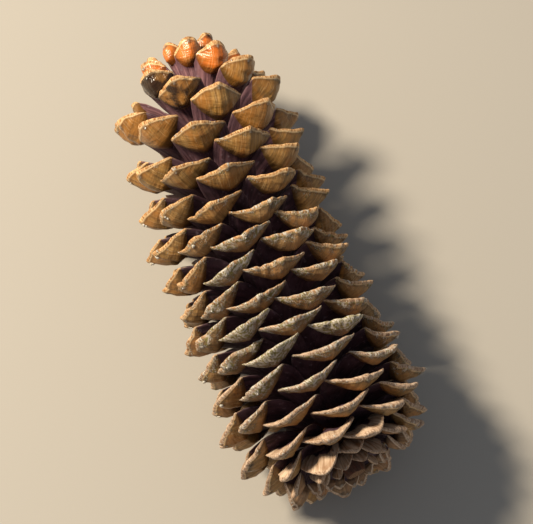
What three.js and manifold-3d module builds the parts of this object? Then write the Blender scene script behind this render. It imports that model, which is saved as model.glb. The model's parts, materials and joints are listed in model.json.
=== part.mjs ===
// An open, dry sugar pine cone lying on its side, in millimetres with +Z up.
// Its axis starts at the flat cut end of the stalk, runs towards +X and bows gently towards -Y.
// Woody scales leave the axis one by one, each turned by the same angle from the one below it.
import * as THREE from 'three';
import { mergeVertices } from 'three/addons/utils/BufferGeometryUtils.js';
import Module from 'manifold-3d';

const wasm = await Module();
wasm.setup();

// Driving dimensions.
const SCALE_COUNT = 174;
const TURN = THREE.MathUtils.degToRad(137.46); // from each scale to the next one up
const FIRST_TURN = THREE.MathUtils.degToRad(44.1); // of the lowest scale, from straight up
const BOW_RADIUS = 1230; // of the bowed axis
const REST_PITCH = THREE.MathUtils.degToRad(1.05); // nose down, as the cone lies
const GAP = 0.3; // between the rachis and the feet of the scales

// The rachis: [distance along the axis, radius].
const RACHIS = [[12, 5.6], [18, 7], [26, 9.8], [36, 10.5], [80, 10], [150, 9], [215, 7.6], [262, 5.2], [282, 3.4], [290, 1.6]];
const RACHIS_SIDES = 14;

// How the scales change from the stalk to the tip: [scale number, value].
const FOOT_ALONG = [[0, 19.5], [10, 25.5], [21, 30.5], [39, 38.5], [52, 51.5], [73, 81], [94, 116], [115, 151], [136, 190], [149, 217], [173, 279]];
const SCALE_LENGTH = [[0, 12], [10, 17], [21, 31], [39, 46], [52, 51], [94, 50], [136, 56], [149, 59], [157, 56], [165, 46], [173, 33]];
const FOOT_LEAN = [[0, 120], [10, 112], [21, 100], [39, 75], [52, 62], [73, 50], [94, 43], [136, 38], [149, 34], [157, 33], [165, 18], [173, 6]];
const TIP_LEAN = [[0, 155], [10, 150], [21, 140], [31, 120], [39, 110], [73, 95], [115, 84], [136, 73], [149, 62], [157, 60], [165, 39], [173, 20]];
const SCALE_WIDTH = [[0, 9], [10, 14], [21, 23], [31, 33], [45, 36.6], [75, 38], [115, 37], [136, 35], [149, 31], [157, 26], [165, 19], [173, 12]];
const EXTRA_TURN = [[0, 0], [140, 0], [150, 6], [158, 16], [166, 42], [173, 24]];

// On one flank of the lower half the scales lean further towards the tip.
const FLANK_NUMBER = 60;
const FLANK_SPREAD = 24;
const FLANK_ANGLE = THREE.MathUtils.degToRad(-50);
const FLANK_LEAN = THREE.MathUtils.degToRad(-12);

// The small unevenness of growth, in the turn and lean of a scale and as a share of its length.
const UNEVEN_ANGLE = THREE.MathUtils.degToRad(1.5);
const UNEVEN_LENGTH = 0.03;

// One scale, from foot to umbo: the share of its length, then the shares of its half-width and of its greatest
// edge rise, top thickness and keel depth.
const STATIONS = [
  { at: 0.0, wide: 0.16, rise: 0.0, top: 0.28, keel: 0.28 },
  { at: 0.3, wide: 0.38, rise: 0.25, top: 0.2, keel: 0.2 },
  { at: 0.52, wide: 0.72, rise: 0.6, top: 0.18, keel: 0.6 },
  { at: 0.74, wide: 1.0, rise: 1.0, top: 0.2, keel: 1.0 },
  { at: 0.88, wide: 0.68, rise: 0.75, top: 0.25, keel: 0.8 },
  { at: 1.0, wide: 0.12, rise: 0.15, top: 0.3, keel: 0.3 },
];
const EDGE_RISE = 0.12; // of the width
const THICKNESS = 0.12; // of the width, at the keel

// How the scales share nodes: the crowded ones at each end, and threes along five spirals between them.
const BASAL_COUNT = 27;
const TIP_START = 162;
const SPIRALS = 5;
const GROUP = 3;
const FOOT_RISE = 2.4; // of the centre of a foot above the rachis
const WEB_RADIUS = 1.8; // of the three-sided strip that joins two feet
const COLLAR_HEIGHT = 3.2;
const COLLAR_MARGIN = 0.9;
const BOW_STEP = 14;

const UP = new THREE.Vector3(0, 1, 0);

// A smooth value at x from a few [x, value] points.
function along(points, x) {
  const last = points.length - 1;
  let i = 0;
  while (i < last - 1 && x > points[i + 1][0]) i += 1;
  const [x0, y0] = points[i];
  const [x1, y1] = points[i + 1];
  const slope = (a, b) => (points[b][1] - points[a][1]) / (points[b][0] - points[a][0]);
  const m0 = slope(Math.max(i - 1, 0), i + 1) * (x1 - x0);
  const m1 = slope(i, Math.min(i + 2, last)) * (x1 - x0);
  const t = Math.min(Math.max((x - x0) / (x1 - x0), 0), 1);
  const h = t * t * (3 - 2 * t);
  return y0 + (y1 - y0) * h + m0 * t * (1 - t) * (1 - t) - m1 * t * t * (1 - t);
}

function rachisRadius(x) {
  let i = 0;
  while (i < RACHIS.length - 2 && x > RACHIS[i + 1][0]) i += 1;
  return THREE.MathUtils.mapLinear(x, RACHIS[i][0], RACHIS[i + 1][0], RACHIS[i][1], RACHIS[i + 1][1]);
}

// The directions away from the axis and round it, at an angle from straight up.
function outward(angle) {
  return new THREE.Vector3(0, -Math.sin(angle), Math.cos(angle));
}

function sideways(angle) {
  return new THREE.Vector3(0, -Math.cos(angle), -Math.sin(angle));
}

// Where a scale points: its angle from straight up, and its lean from the axis at foot and tip.
function directions(number) {
  const extraTurn = THREE.MathUtils.degToRad(along(EXTRA_TURN, number));
  const angle = FIRST_TURN + TURN * number + extraTurn + UNEVEN_ANGLE * Math.sin(2.1 * number);
  const near = Math.exp(-(((number - FLANK_NUMBER) / FLANK_SPREAD) ** 2));
  const facing = Math.max(Math.cos(angle - FLANK_ANGLE), 0) ** 2;
  const extra = FLANK_LEAN * near * facing + UNEVEN_ANGLE * Math.sin(0.9 * number);
  return {
    angle,
    footLean: THREE.MathUtils.degToRad(along(FOOT_LEAN, number)) + extra,
    tipLean: THREE.MathUtils.degToRad(along(TIP_LEAN, number)) + extra,
  };
}

function toSolid(geometry) {
  geometry.deleteAttribute('normal');
  geometry.deleteAttribute('uv');
  const merged = mergeVertices(geometry, 1e-4);
  const mesh = new wasm.Mesh({
    numProp: 3,
    vertProperties: new Float32Array(merged.attributes.position.array),
    triVerts: new Uint32Array(merged.index.array),
  });
  return new wasm.Manifold(mesh);
}

// A turned solid along X from an outline of radius and distance.
function turned(outline) {
  const geometry = new THREE.LatheGeometry(outline, RACHIS_SIDES);
  geometry.rotateZ(-Math.PI / 2);
  return toSolid(geometry);
}

// One woody scale: a keeled spoon that leaves the axis at its foot and curves outwards to its umbo.
function scaleSolid(number) {
  const { angle, footLean, tipLean } = directions(number);
  const length = along(SCALE_LENGTH, number) * (1 + UNEVEN_LENGTH * Math.sin(1.3 * number));
  const width = along(SCALE_WIDTH, number);
  const start = along(FOOT_ALONG, number);
  const out = outward(angle);
  const side = sideways(angle);
  const steps = 50;
  const centre = new THREE.Vector3(start, 0, 0).addScaledVector(out, rachisRadius(start) + FOOT_RISE);
  const points = [];
  let station = 0;
  for (let i = 0; i <= steps; i += 1) {
    const t = i / steps;
    const lean = footLean + (tipLean - footLean) * THREE.MathUtils.smoothstep(t, 0, 0.75);
    const forward = new THREE.Vector3(Math.cos(lean), 0, 0).addScaledVector(out, Math.sin(lean));
    const upper = new THREE.Vector3(Math.sin(lean), 0, 0).addScaledVector(out, -Math.cos(lean));
    if (station < STATIONS.length && t >= STATIONS[station].at - 1e-9) {
      const { wide, rise, top, keel } = STATIONS[station];
      const half = (wide * width) / 2;
      const lift = rise * EDGE_RISE * width;
      const deep = THICKNESS * width + 1;
      points.push(centre.clone().addScaledVector(side, -half).addScaledVector(upper, lift));
      points.push(centre.clone().addScaledVector(upper, top * deep));
      points.push(centre.clone().addScaledVector(side, half).addScaledVector(upper, lift));
      points.push(centre.clone().addScaledVector(upper, -keel * deep));
      station += 1;
    }
    centre.addScaledVector(forward, length / steps);
  }
  const faces = [];
  for (let ring = 0; ring < STATIONS.length - 1; ring += 1) {
    for (let k = 0; k < 4; k += 1) {
      const a = ring * 4 + k;
      const b = ring * 4 + ((k + 1) % 4);
      faces.push(a, a + 4, b, b, a + 4, b + 4);
    }
  }
  const tip = (STATIONS.length - 1) * 4;
  faces.push(0, 1, 2, 0, 2, 3);
  faces.push(tip, tip + 2, tip + 1, tip, tip + 3, tip + 2);
  const geometry = new THREE.BufferGeometry().setFromPoints(points);
  geometry.setIndex(faces);
  return toSolid(geometry);
}

// The strip of wood along the rachis that joins the feet of two scales.
function webSolid(lower, upper) {
  const foot = (number) => {
    const x = along(FOOT_ALONG, number);
    const reach = rachisRadius(x) + FOOT_RISE;
    return new THREE.Vector3(x, 0, 0).addScaledVector(outward(directions(number).angle), reach);
  };
  const a = foot(lower);
  const b = foot(upper);
  const run = b.clone().sub(a);
  const geometry = new THREE.CylinderGeometry(WEB_RADIUS, WEB_RADIUS, run.length(), 3);
  geometry.applyQuaternion(new THREE.Quaternion().setFromUnitVectors(UP, run.normalize()));
  geometry.translate((a.x + b.x) / 2, (a.y + b.y) / 2, (a.z + b.z) / 2);
  return toSolid(geometry);
}

// Carries a point of the straight cone to the bowed one.
function bow(position) {
  const turn = position.x / BOW_RADIUS;
  const radius = BOW_RADIUS + position.y;
  position.x = radius * Math.sin(turn);
  position.y = radius * Math.cos(turn) - BOW_RADIUS;
}

function bowedMesh(name, solid, material) {
  const { vertProperties, triVerts, numProp } = solid.getMesh();
  const count = vertProperties.length / numProp;
  const positions = new Float32Array(count * 3);
  const point = new THREE.Vector3();
  for (let i = 0; i < count; i += 1) {
    point.fromArray(vertProperties, i * numProp);
    bow(point);
    point.toArray(positions, i * 3);
  }
  const geometry = new THREE.BufferGeometry();
  geometry.setAttribute('position', new THREE.BufferAttribute(positions, 3));
  geometry.setIndex(new THREE.BufferAttribute(new Uint32Array(triVerts), 1));
  geometry.computeVertexNormals();
  const mesh = new THREE.Mesh(geometry, material);
  mesh.name = name;
  return mesh;
}

function rachisWood() {
  return new THREE.MeshStandardMaterial({ color: 0x4a3024, roughness: 0.85, metalness: 0 });
}

function scaleWood() {
  return new THREE.MeshStandardMaterial({ color: 0x96642d, roughness: 0.7, metalness: 0, flatShading: true });
}

// The rachis, with enough steps along it to bow smoothly.
function rachis() {
  const profile = [];
  for (let i = 0; i < RACHIS.length - 1; i += 1) {
    const parts = Math.ceil((RACHIS[i + 1][0] - RACHIS[i][0]) / BOW_STEP);
    for (let j = 0; j < parts; j += 1) {
      const x = THREE.MathUtils.lerp(RACHIS[i][0], RACHIS[i + 1][0], j / parts);
      profile.push([x, rachisRadius(x)]);
    }
  }
  profile.push(RACHIS[RACHIS.length - 1]);
  const outline = profile.map(([x, radius]) => new THREE.Vector2(radius, x));
  outline.unshift(new THREE.Vector2(0, profile[0][0]));
  outline.push(new THREE.Vector2(0, profile[profile.length - 1][0]));
  return bowedMesh('rachis', turned(outline), rachisWood());
}

// The collar of wood that crowded scales share, a ring with a clear bore for the rachis.
function collar(from, to) {
  const ends = [from, (from + to) / 2, to];
  const inner = ends.map((x) => new THREE.Vector2(rachisRadius(x) + GAP, x));
  const outer = ends.map((x) => new THREE.Vector2(rachisRadius(x) + GAP + COLLAR_HEIGHT, x));
  return turned([...outer, ...inner.reverse(), outer[0]]);
}

// Scales that crowd round the rachis on their collar, which runs from one distance to another.
function crowdedScales(name, first, end, from, to) {
  let solid = collar(from, to);
  for (let number = first; number < end; number += 1) solid = solid.add(scaleSolid(number));
  return bowedMesh(name, solid, scaleWood());
}

// Scales that follow each other along one of the five steep spirals, joined at their feet.
function spiralScales(name, numbers) {
  let solid = scaleSolid(numbers[0]);
  for (let i = 1; i < numbers.length; i += 1) {
    solid = solid.add(scaleSolid(numbers[i])).add(webSolid(numbers[i - 1], numbers[i]));
  }
  return bowedMesh(name, solid, scaleWood());
}

const cone = new THREE.Group();
cone.add(rachis());
const basalEnd = along(FOOT_ALONG, BASAL_COUNT - 1) - COLLAR_MARGIN;
cone.add(crowdedScales('basal_scales', 0, BASAL_COUNT, along(FOOT_ALONG, 0) - COLLAR_MARGIN, basalEnd));
for (let spiral = 0; spiral < SPIRALS; spiral += 1) {
  const numbers = [];
  for (let n = BASAL_COUNT + spiral; n < TIP_START; n += SPIRALS) numbers.push(n);
  for (let i = 0; i < numbers.length; i += GROUP) {
    const name = `scales_spiral_${spiral + 1}_group_${i / GROUP + 1}`;
    cone.add(spiralScales(name, numbers.slice(i, i + GROUP)));
  }
}
const tipFrom = along(FOOT_ALONG, TIP_START) + COLLAR_MARGIN;
cone.add(crowdedScales('tip_scales', TIP_START, SCALE_COUNT, tipFrom, along(FOOT_ALONG, SCALE_COUNT - 1)));

// The cone lies on the tips of its lowest scales, with its box centred over the origin.
cone.rotation.y = REST_PITCH;
cone.updateMatrixWorld(true);
const box = new THREE.Box3().setFromObject(cone, true);
cone.position.set(-(box.min.x + box.max.x) / 2, -(box.min.y + box.max.y) / 2, -box.min.z);

export default cone;
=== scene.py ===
# An open, dry sugar pine cone lying on its side. Everything is in metres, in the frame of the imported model:
# the stalk lies towards -X and the tip towards +X.
import json
import math

import bpy
import numpy as np
from mathutils import Matrix, Vector, noise


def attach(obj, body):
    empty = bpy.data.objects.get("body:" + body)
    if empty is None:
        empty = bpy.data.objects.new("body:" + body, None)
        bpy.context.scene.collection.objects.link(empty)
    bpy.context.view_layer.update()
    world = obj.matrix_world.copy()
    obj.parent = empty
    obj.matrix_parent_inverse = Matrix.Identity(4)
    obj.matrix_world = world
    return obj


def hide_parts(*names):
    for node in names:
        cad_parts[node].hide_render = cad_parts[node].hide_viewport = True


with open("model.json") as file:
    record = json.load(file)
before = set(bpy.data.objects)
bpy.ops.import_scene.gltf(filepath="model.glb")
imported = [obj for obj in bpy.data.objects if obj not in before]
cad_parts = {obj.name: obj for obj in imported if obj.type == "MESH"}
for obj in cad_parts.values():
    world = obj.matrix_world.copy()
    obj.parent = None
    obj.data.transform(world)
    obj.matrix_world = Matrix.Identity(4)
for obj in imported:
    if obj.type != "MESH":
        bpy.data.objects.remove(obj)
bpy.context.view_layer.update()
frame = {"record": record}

# ---- Rachis ----------------------------------------------------------
# The woody axis that carries every scale, with the stub of the stalk at its lower end. It is fibrous dark
# brown wood, gently bowed, with ridged bark, and the stalk broke off short and left a flat end.

MM = 0.001
BOW_RADIUS = 1230 * MM  # of the bowed axis
REST_PITCH = math.radians(1.05)  # nose down, as the cone lies
STALK_END = next(m for m in frame["record"]["mounts"] if m["name"] == "stalk_end")["pos_m"]

# [distance along the axis, radius], in millimetres.
RACHIS_OUTLINE = [
    [12, 5.6], [18, 7], [26, 9.8], [36, 10.5], [80, 10], [150, 9], [215, 7.6], [262, 5.2],
    [282, 3.4], [290, 1.6],
]
RACHIS_SIDES = 64
RACHIS_STEP = 1.6  # mm between rings
END_RINGS = 4  # over the flat end of the stalk
END_SHARE = 0.94  # of the stalk's radius, where the flat end turns into the side
END_BEVEL = 0.4  # mm, along the axis
END_UNEVEN = 0.2  # mm
BARK_RIDGES = 11
BARK_RIDGE_HEIGHT = 0.35  # mm
BARK_TURN = 0.32  # radians of a ridge's wave for each mm along the axis
LUMP_LENGTH = 7  # mm, of the lumps of the bark along the axis
LUMPS_ROUND = 2.2
LUMP_HEIGHT = 0.55  # mm
FINE_LUMP_HEIGHT = 0.25  # mm, of lumps a third as long


def bowed(points):
    """Bows and pitches points of the straight cone, in metres."""
    x, y, z = np.asarray(points, float).reshape(-1, 3).T
    turn = x / BOW_RADIUS
    bowed_x = (BOW_RADIUS + y) * np.sin(turn)
    bowed_y = (BOW_RADIUS + y) * np.cos(turn) - BOW_RADIUS
    cosine, sine = math.cos(REST_PITCH), math.sin(REST_PITCH)
    return np.array([bowed_x * cosine + z * sine, bowed_y, z * cosine - bowed_x * sine]).T


AXIS_START = np.array(STALK_END) - bowed([(RACHIS_OUTLINE[0][0] * MM, 0, 0)])[0]


def linear(colour):
    """An sRGB hex colour as linear red, green, blue and alpha."""
    parts = [int(colour[i : i + 2], 16) / 255 for i in (1, 3, 5)]
    return [c / 12.92 if c <= 0.04045 else ((c + 0.055) / 1.055) ** 2.4 for c in parts] + [1]


def add(tree, kind, inputs, output=0, **settings):
    """Adds a node and returns one of its outputs. Each input is a value or another node's output."""
    made = tree.nodes.new(kind)
    for name, value in settings.items():
        setattr(made, name, value)
    for key, value in inputs.items():
        if isinstance(value, bpy.types.NodeSocket):
            tree.links.new(value, made.inputs[key])
        else:
            made.inputs[key].default_value = value
    return made.outputs[output] if len(made.outputs) else made


def new_material(name):
    """A material with an empty tree, and its tree."""
    material = bpy.data.materials.new(name)
    material.use_nodes = True
    material.node_tree.nodes.clear()
    return material, material.node_tree


def solid_piece(name, points, faces, materials, slots, fields):
    """A smooth-shaded mesh object; slots numbers each face's material and fields are vectors per vertex."""
    mesh = bpy.data.meshes.new(name)
    mesh.from_pydata(points.tolist(), [], faces)
    for material in materials:
        mesh.materials.append(material)
    mesh.polygons.foreach_set("material_index", np.asarray(slots, np.int32))
    for field, values in fields.items():
        layer = mesh.attributes.new(field, "FLOAT_VECTOR", "POINT")
        layer.data.foreach_set("vector", np.asarray(values, np.float32).ravel())
    mesh.polygons.foreach_set("use_smooth", np.ones(len(faces), bool))
    mesh.update()
    piece = bpy.data.objects.new(name, mesh)
    bpy.context.scene.collection.objects.link(piece)
    return piece


def rachis_radius(x):
    """Radius of the rachis in mm at a distance in mm along it."""
    return np.interp(x, *np.array(RACHIS_OUTLINE, float).T)


# Dry, fibrous wood, rough and almost without sheen: dark and pale fibres 0.9 mm apart, redder in patches.
rachis_wood, tree = new_material("dry_fibrous_rachis_wood")
grain = add(tree, "ShaderNodeAttribute", {}, "Vector", attribute_name="grain")
fibre_space = add(tree, "ShaderNodeVectorMath", {0: grain, 1: (1 / 0.9, 1 / 16, 1)}, operation="MULTIPLY")
fibres = add(tree, "ShaderNodeTexNoise", {"Vector": fibre_space, "Scale": 1, "Detail": 5})
patch_space = add(tree, "ShaderNodeVectorMath", {0: grain, 1: (1 / 6, 1 / 9, 1)}, operation="MULTIPLY")
patches = add(tree, "ShaderNodeTexNoise", {"Vector": patch_space, "Scale": 1, "Detail": 3})
redness = add(tree, "ShaderNodeMapRange", {0: patches, 1: 0.45, 2: 0.7, 3: 0.0, 4: 0.6})
colour = add(
    tree, "ShaderNodeMix", {0: fibres, 6: linear("#1f1210"), 7: linear("#6d4630")}, 2, data_type="RGBA"
)
colour = add(tree, "ShaderNodeMix", {0: redness, 6: colour, 7: linear("#7a3c20")}, 2, data_type="RGBA")
bump = add(tree, "ShaderNodeBump", {"Height": fibres, "Distance": 0.5 * MM, "Strength": 0.8})
shader = add(
    tree, "ShaderNodeBsdfPrincipled", {"Base Color": colour, "Roughness": 0.82, "IOR": 1.5, "Normal": bump}
)
add(tree, "ShaderNodeOutputMaterial", {0: shader})

# The broken end of the stalk: paler wood round a dark pith, grubby and rough, with rings 1.8 mm apart.
stalk_end_grain, tree = new_material("grubby_stalk_end_grain")
grain = add(tree, "ShaderNodeAttribute", {}, "Vector", attribute_name="grain")
rings = add(
    tree, "ShaderNodeTexWave", {"Vector": grain, "Scale": 0.28, "Distortion": 1.5, "Detail": 3}, 1,
    wave_type="RINGS", rings_direction="Z",
)
specks = add(tree, "ShaderNodeTexNoise", {"Vector": grain, "Scale": 2.5, "Detail": 4})
colour = add(
    tree, "ShaderNodeMix", {0: rings, 6: linear("#6b4a30"), 7: linear("#a9825a")}, 2, data_type="RGBA"
)
colour = add(tree, "ShaderNodeMix", {0: specks, 6: colour, 7: linear("#4a3222")}, 2, data_type="RGBA")
bump = add(tree, "ShaderNodeBump", {"Height": specks, "Distance": 0.25 * MM, "Strength": 0.7})
shader = add(
    tree, "ShaderNodeBsdfPrincipled", {"Base Color": colour, "Roughness": 0.9, "IOR": 1.5, "Normal": bump}
)
add(tree, "ShaderNodeOutputMaterial", {0: shader})


def rachis_piece():
    """The bowed axis with ridged bark, closed by one point at each end."""
    first, last = RACHIS_OUTLINE[0][0], RACHIS_OUTLINE[-1][0]
    stations = [(first, (ring + 1) / END_RINGS * END_SHARE) for ring in range(END_RINGS)]
    stations += [(x, 1.0) for x in np.arange(first + END_BEVEL, last, RACHIS_STEP)]
    points, fields = [(first, 0, 0)], [(0, 0, 0)]
    for x, share in stations:
        for k in range(RACHIS_SIDES):
            a = 2 * math.pi * k / RACHIS_SIDES
            spot = Vector((x / LUMP_LENGTH, LUMPS_ROUND * math.cos(a), LUMPS_ROUND * math.sin(a)))
            ridge = BARK_RIDGE_HEIGHT * math.sin(BARK_RIDGES * a + BARK_TURN * x)
            lump = LUMP_HEIGHT * noise.noise(spot) + FINE_LUMP_HEIGHT * noise.noise(spot * 3)
            reach = (rachis_radius(x) + ridge + lump) * share
            y, z = reach * math.cos(a), reach * math.sin(a)
            points.append((x + END_UNEVEN * noise.noise(spot * 2), y, z))
            fields.append((y, z, 0) if x == first else (a * rachis_radius(x), x, 3 * math.cos(a)))
    points.append((last, 0, 0))
    fields.append((0, last, 3))
    faces, slots = [], []
    for k in range(RACHIS_SIDES):
        after = (k + 1) % RACHIS_SIDES
        faces.append((0, 1 + after, 1 + k))
        slots.append(1)
        for ring in range(len(stations) - 1):
            here, there = 1 + ring * RACHIS_SIDES + k, 1 + ring * RACHIS_SIDES + after
            faces.append((here, there, there + RACHIS_SIDES, here + RACHIS_SIDES))
            slots.append(1 if ring < END_RINGS - 1 else 0)
        end = 1 + (len(stations) - 1) * RACHIS_SIDES
        faces.append((end + k, end + after, len(points) - 1))
        slots.append(0)
    placed = AXIS_START + bowed(np.array(points) * MM)
    return solid_piece(
        "rachis_with_stalk", placed, faces, [rachis_wood, stalk_end_grain], slots, {"grain": fields}
    )


rachis = rachis_piece()
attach(rachis, "root")
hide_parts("rachis")

# ---- Basal scales ----------------------------------------------------
# The small, crowded, sterile scales round the stalk, bent back towards it so that their upper faces show.
# Each is one woody plate that grew from the rachis, with a thick rounded margin and a weathered tan face.

SCALE_COUNT = 174
BASAL_COUNT = 27
TURN = math.radians(137.46)  # from each scale to the next one up
FIRST_TURN = math.radians(44.1)  # of the lowest scale, from straight up
FOOT_RISE = 2.4  # mm, of the centre of a foot above the rachis

# How the scales change from the stalk to the tip: [scale number, value]. Lengths are in mm and leans in
# degrees from the axis.
FOOT_ALONG = [
    [0, 19.5], [10, 25.5], [21, 30.5], [39, 38.5], [52, 51.5], [73, 81], [94, 116], [115, 151],
    [136, 190], [149, 217], [173, 279],
]
SCALE_LENGTH = [
    [0, 12], [10, 17], [21, 31], [39, 46], [52, 51], [94, 50], [136, 56], [149, 59], [157, 56],
    [165, 46], [173, 33],
]
FOOT_LEAN = [
    [0, 120], [10, 112], [21, 100], [39, 75], [52, 62], [73, 50], [94, 43], [136, 38], [149, 34],
    [157, 33], [165, 18], [173, 6],
]
TIP_LEAN = [
    [0, 155], [10, 150], [21, 140], [31, 120], [39, 110], [73, 95], [115, 84], [136, 73], [149, 62],
    [157, 60], [165, 39], [173, 20],
]
SCALE_WIDTH = [
    [0, 9], [10, 14], [21, 23], [31, 33], [45, 36.6], [75, 38], [115, 37], [136, 35], [149, 31],
    [157, 26], [165, 19], [173, 12],
]
EXTRA_TURN = [[0, 0], [140, 0], [150, 6], [158, 16], [166, 42], [173, 24]]
RIM_THICKNESS = [
    [0, 0.8], [20, 1.0], [40, 1.5], [60, 1.4], [90, 0.9], [120, 0.7], [150, 0.7], [165, 1.0], [173, 0.9],
]

# The same for what goes by shares: of the width for the keel's depth and the rise of the side edges, and of
# the length for how far the margin drops from the umbo to the side corners and where the outer face starts.
# A power near 1 gives a sharp keel or corner, and a higher one rounds it.
KEEL_DEPTH = [[0, 0.1], [40, 0.11], [120, 0.13], [150, 0.19], [165, 0.34], [173, 0.38]]
KEEL_POWER = [[0, 1.5], [40, 1.15], [140, 1.1], [157, 1.7], [173, 2.2]]
EDGE_RISE = [[0, 0.08], [30, 0.1], [60, 0.125], [95, 0.14], [120, 0.155], [150, 0.16], [173, 0.1]]
MARGIN_DROP = [[0, 0.36], [30, 0.34], [50, 0.26], [140, 0.23], [157, 0.17], [173, 0.2]]
MARGIN_POWER = [[0, 1.7], [30, 1.5], [60, 1.35], [140, 1.35], [157, 2.0], [173, 2.4]]
FACE_START = [
    [0, 0.5], [40, 0.64], [95, 0.64], [120, 0.61], [141, 0.57], [152, 0.62], [160, 0.66], [173, 0.56],
]
FACE_POWER = [[0, 2.0], [40, 1.3], [120, 1.2], [145, 1.35], [157, 2.1], [173, 2.4]]

# On one flank of the lower half the scales lean further towards the tip.
FLANK_NUMBER = 60
FLANK_SPREAD = 24
FLANK_ANGLE = math.radians(-50)
FLANK_LEAN = math.radians(-12)

# The small unevenness of growth.
UNEVEN_ANGLE = math.radians(1.5)  # in the turn and the lean of a scale
UNEVEN_LENGTH = 0.03  # of the length
UNEVEN_SIDE = 0.14  # of the half-width, in where the margin peaks and the keel lies
UNEVEN_MARGIN = 0.035  # of the length, a slant of the margin
UNEVEN_FACE = 0.03  # of the length, in where the outer face starts
UNEVEN_ROLL = [[0, 0.25], [30, 0.2], [50, 0.08], [173, 0.08]]  # slope from side to side, by scale number
BASAL_LEAN = math.radians(9)  # how far the crowded basal scales are pushed about

# The mesh of one scale: points across, rows below and above the edge of the outer face, steps over the rim.
ACROSS = 41
INNER_ROWS = 10
OUTER_ROWS = 14
ROWS = INNER_ROWS + OUTER_ROWS
RIM_STEPS = 3
CENTRE_STEPS = 50
SHARES = np.linspace(-1, 1, ACROSS)  # of the half-width, for the points across
SEED_STEP = 7.31  # between one scale's patterns and the next one's

# The blade and its two faces.
FULL_LENGTH = 45  # mm, above which a scale has all of its relief
CURVED_SHARE = 0.75  # of the length, over which the scale curves outwards
FOOT_SHARE = 0.25  # of the half-width, at the foot
KEEL_SIDE = -0.14  # of the half-width, where the lower corner of the outer face lies
PEAK_SIDE = 0.1  # of the half-width, where the margin peaks
FACE_END = 0.965  # of the way to the margin, the highest that the edge of the outer face goes
FACE_STEP = 0.6  # mm that the outer face stands above the wood below it
STEP_SHARE = 0.012  # of the way to the margin, over which it rises that far
EDGE_PASSES = 12
EDGE_WAVER = 0.006  # of the way to the margin, how far that edge wavers
WAVER_SIZE = 2.5  # mm
# How far the outer face bulges, as a share of the keel's depth: [share of the way over it, value].
SWELL = [[0, 0.38], [0.3, 1], [0.7, 0.75], [1, 0.16]]
COVERED_SWELL = 0.2  # the same at the foot, and COVERED_RISE more towards the outer face
COVERED_RISE = 0.18
HOLLOW = 0.1  # of the keel's depth, how far the middle of the scale arches
RISE_POWER = 1.8
SIDE_EDGE = 0.8  # mm, thickness of the side edges
EDGE_BULGE = 0.45  # of the thickness, how far the side edges are rounded
RIM_BULGE = 0.5
UMBO_SIDE = 0.8  # of the way to the margin's peak
UMBO_HEIGHT = 0.8  # mm
UMBO_RADIUS = 1.4  # mm
UMBO_INSET = 1.3  # mm, from the margin
PRINT_DEPTH = 0.55  # mm, of the prints of the two seeds on the upper face
PRINT_SIDE = 0.42  # of the half-width, to the middle of a print
PRINT_WIDTH = 0.34
BASAL_RIB = 0.13  # of the half-width, a low rib along the upper face of the basal scales
BASAL_RIB_WIDTH = 0.3

# Unevenness of the faces: height in mm, and the size of its features in mm.
WARP = 1.1  # slow undulation of the whole plate
WARP_SIZE = 15
RIDGE = 0.3  # ridges that fan out over each face
RIDGE_SIZES = (2.4, 14, 1)
RIPPLE = 0.25
RIPPLE_SIZE = 3.2
WRINKLE = 1.3  # folds across the faces of the fat tip scales
WRINKLE_SIZES = (9, 3.5, 1)

# Wear of the margins, in mm where not said otherwise.
MARGIN_WOBBLE = 1.4  # of the outline
WOBBLE_SIZE = 6
MARGIN_TEETH = 0.75  # fine jaggedness, lower on the cone
TOOTH_SIZE = 1.9
NICKS = 3  # in each margin
NICK_DEPTH = 2.2
NICK_SPREAD = 0.85  # of the half-width, how far from the middle they lie
NICK_WIDTH = 0.07  # of the half-width
NICK_WIDTH_RANGE = 0.03
# Scale number: middle and width of the tear as shares of the half-width, and its depth.
TORN_SCALES = {70: (1.0, 0.55, 7), 62: (-1.0, 0.35, 4), 24: (0.1, 0.3, 3)}
REST_BLUNT = 1 * MM  # height over which the tips that carry the cone are blunted

# Weather dulls and crusts the scales round one number, most where they face up. Resin stains a few scales.
WEATHERED_NUMBER = 78
WEATHERED_SPREAD = 39
RESIN_STAINS = {159: 1, 154: 0.62, 170: 0.5}  # scale number: how far old resin covers it


def along(points, x):
    """A smooth value at x from a few [x, value] points."""
    last = len(points) - 1
    i = 0
    while i < last - 1 and x > points[i + 1][0]:
        i += 1
    (x0, y0), (x1, y1) = points[i], points[i + 1]

    def slope(a, b):
        return (points[b][1] - points[a][1]) / (points[b][0] - points[a][0])

    start = slope(max(i - 1, 0), i + 1) * (x1 - x0)
    end = slope(i, min(i + 2, last)) * (x1 - x0)
    t = min(max((x - x0) / (x1 - x0), 0), 1)
    blend = t * t * (3 - 2 * t)
    return y0 + (y1 - y0) * blend + start * t * (1 - t) ** 2 - end * t * t * (1 - t)


def chance(number, salt):
    """A fixed number from -1 to 1 for a scale."""
    value = math.sin(number * 12.9898 + salt * 78.233) * 43758.5453
    return 2 * (value - math.floor(value)) - 1


def smooth(low, high, x):
    t = np.clip((x - low) / (high - low), 0, 1)
    return t * t * (3 - 2 * t)


def noise_at(points, sizes):
    """Smooth noise from -1 to 1 at points in mm, with features of the given sizes in mm."""
    points = np.asarray(points, float)
    spots = (points / sizes).reshape(-1, 3).tolist()
    return np.array([noise.noise(Vector(spot)) for spot in spots]).reshape(points.shape[:-1])


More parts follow.
